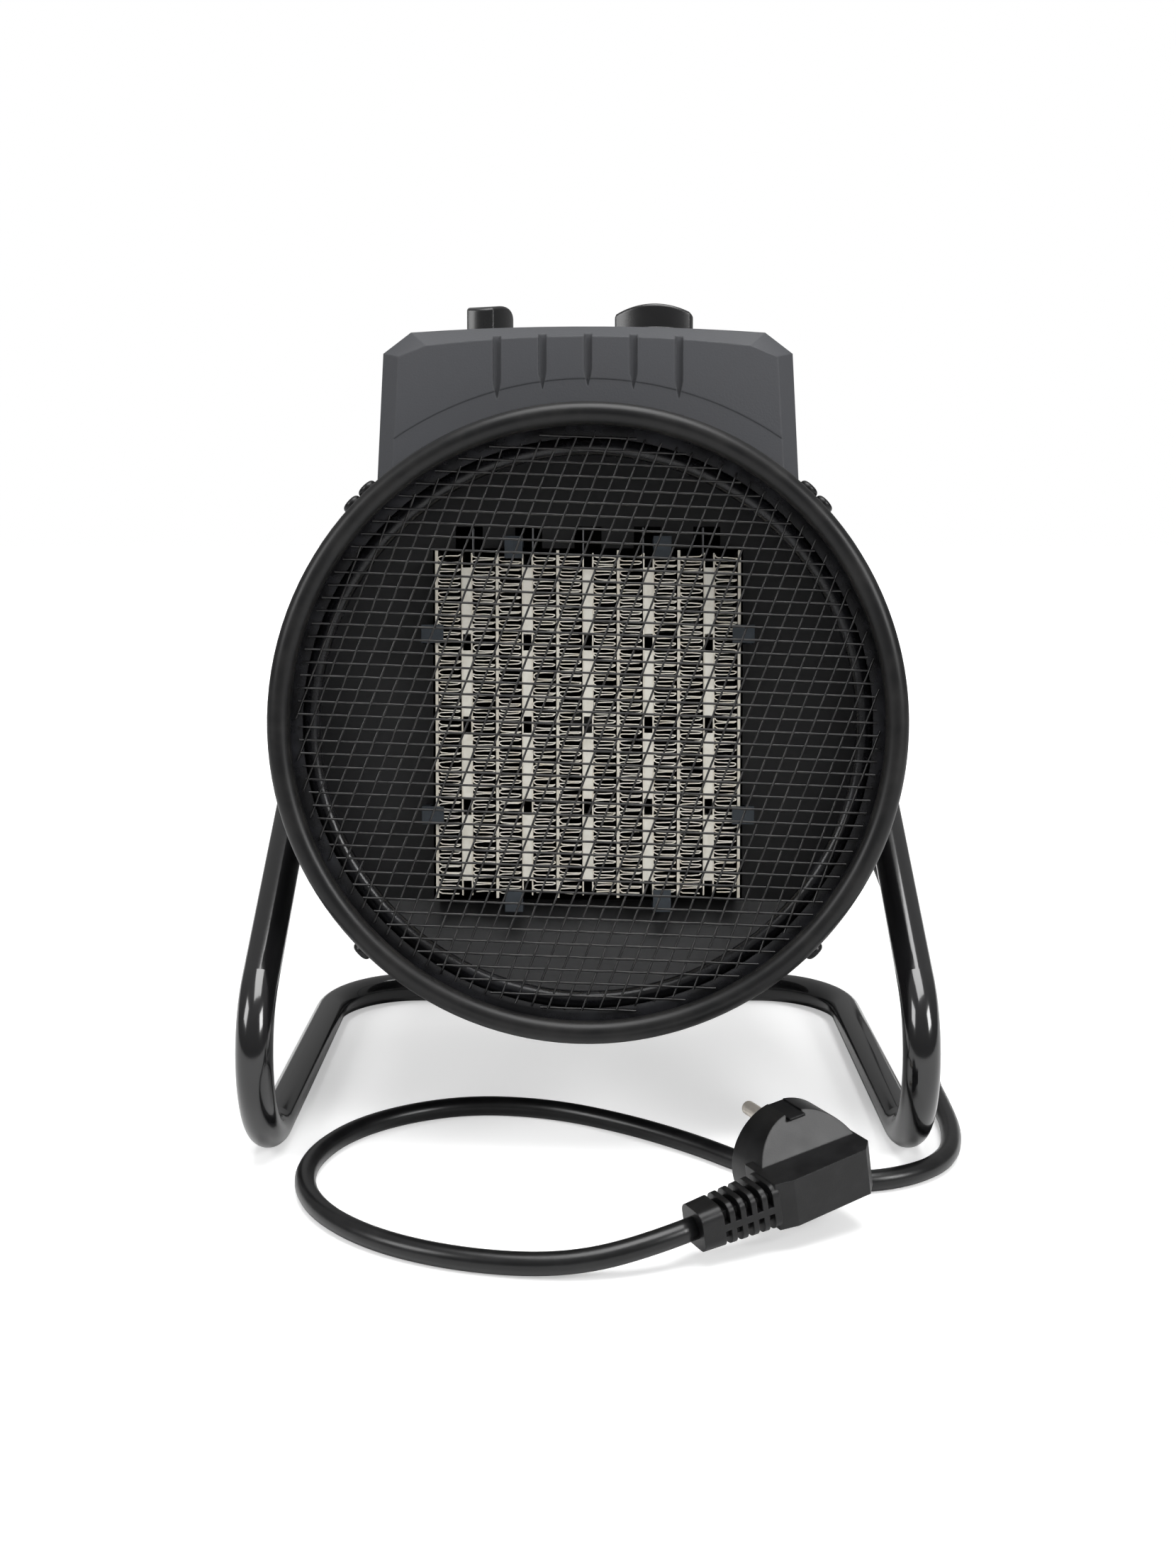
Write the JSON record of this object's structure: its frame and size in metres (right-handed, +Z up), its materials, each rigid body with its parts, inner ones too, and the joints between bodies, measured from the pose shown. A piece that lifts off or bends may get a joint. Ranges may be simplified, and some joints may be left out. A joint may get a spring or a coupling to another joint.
{
  "type": "fan heater",
  "caption": "Portable drum fan heater with a ceramic element behind wire mesh, a control box with two knobs, a tilting tube stand and a mains cord.",
  "frame": {"origin": "on the floor, under the middle of the stand and heater, without the cord", "axes": "+Z up, +Y from the mesh front to the back, +X to the right of someone who faces the mesh"},
  "size_m": [0.2782, 0.3448, 0.3013],
  "materials": {
    "stand_paint": "glossy black enamel",
    "drum_paint": "satin black paint",
    "rim_paint": "glossy black enamel on a rolled bead",
    "mesh_wire": "dark grey coated wire",
    "liner_sheet": "dark sheet steel",
    "baffle_sheet": "dull zinc coated sheet",
    "clip_plastic": "dark heat resistant plastic",
    "ceramic": "white fired ceramic",
    "fin_metal": "bare aluminium strip",
    "plate_metal": "bare aluminium sheet",
    "zinc_steel": "zinc plated steel",
    "black_steel": "blackened steel",
    "fan_plastic": "black moulded plastic",
    "core_steel": "stacked core steel",
    "copper_coil": "taped copper winding",
    "bronze": "sintered bronze",
    "box_plastic": "fine grained dark grey plastic",
    "knob_plastic": "smooth black plastic",
    "switch_plastic": "pale switch plastic",
    "cord_rubber": "black rubber sheath",
    "plug_rubber": "black moulded rubber",
    "pin_metal": "nickel plated brass"
  },
  "bodies": {
    "stand": {"stand_tube": "stand_paint", "power_cord": "cord_rubber", "plug_body": "plug_rubber", "plug_pins": "pin_metal", "plug_earth_springs": "pin_metal"},
    "heater": {"ceramic_stones": "ceramic", "column_dividers": "plate_metal", "control_box": "box_plastic", "control_box_screws": "black_steel", "cord_gland": "cord_rubber", "drum_shell": "drum_paint", "electrode_plates": "plate_metal", "element_baffle": "baffle_sheet", "element_clips": "clip_plastic", "element_terminals": "zinc_steel", "front_guard": "mesh_wire", "front_rim": "rim_paint", "guard_seat_ring": "liner_sheet", "heating_fins": "fin_metal", "inner_lead": "cord_rubber", "mode_switch": "switch_plastic", "motor_bearing_plates": "zinc_steel", "motor_bracket": "zinc_steel", "motor_bushes": "bronze", "motor_coil": "copper_coil", "motor_core": "core_steel", "motor_screws": "zinc_steel", "overheat_cutout": "zinc_steel", "pivot_bolts": "black_steel", "pivot_nuts": "zinc_steel", "pivot_spacers": "black_steel", "pivot_washers": "black_steel", "rear_guard": "drum_paint", "rear_guard_screws": "black_steel", "rim_screw_pads": "black_steel", "rim_screws": "black_steel", "terminal_block": "switch_plastic", "thermostat_switch": "switch_plastic"},
    "fan": {"fan_blades": "fan_plastic", "fan_retaining_clip": "zinc_steel", "motor_shaft": "zinc_steel", "motor_rotor": "core_steel"},
    "mode_dial": {"mode_knob": "knob_plastic", "mode_spindle": "zinc_steel"},
    "thermostat_dial": {"thermostat_knob": "knob_plastic", "thermostat_spindle": "zinc_steel"}
  },
  "joints": [
    {"name": "tilt", "type": "hinge", "parent": "stand", "child": "heater", "pos_m": [0, 0.0306, 0.1385], "axis": [-1, 0, 0], "range_deg": [-12, 30], "deforming": ["power_cord"]},
    {"name": "fan_spin", "type": "hinge", "parent": "heater", "child": "fan", "pos_m": [0, 0.01773, 0.14033], "axis": [0, 0.99, -0.1409], "continuous": true},
    {"name": "mode_turn", "type": "hinge", "parent": "heater", "child": "mode_dial", "pos_m": [-0.037, 0.01312, 0.2925], "axis": [0, 0.1409, 0.99], "range_deg": [-75, 75]},
    {"name": "thermostat_turn", "type": "hinge", "parent": "heater", "child": "thermostat_dial", "pos_m": [0.025, 0.01312, 0.2925], "axis": [0, 0.1409, 0.99], "range_deg": [-135, 135]}
  ]
}
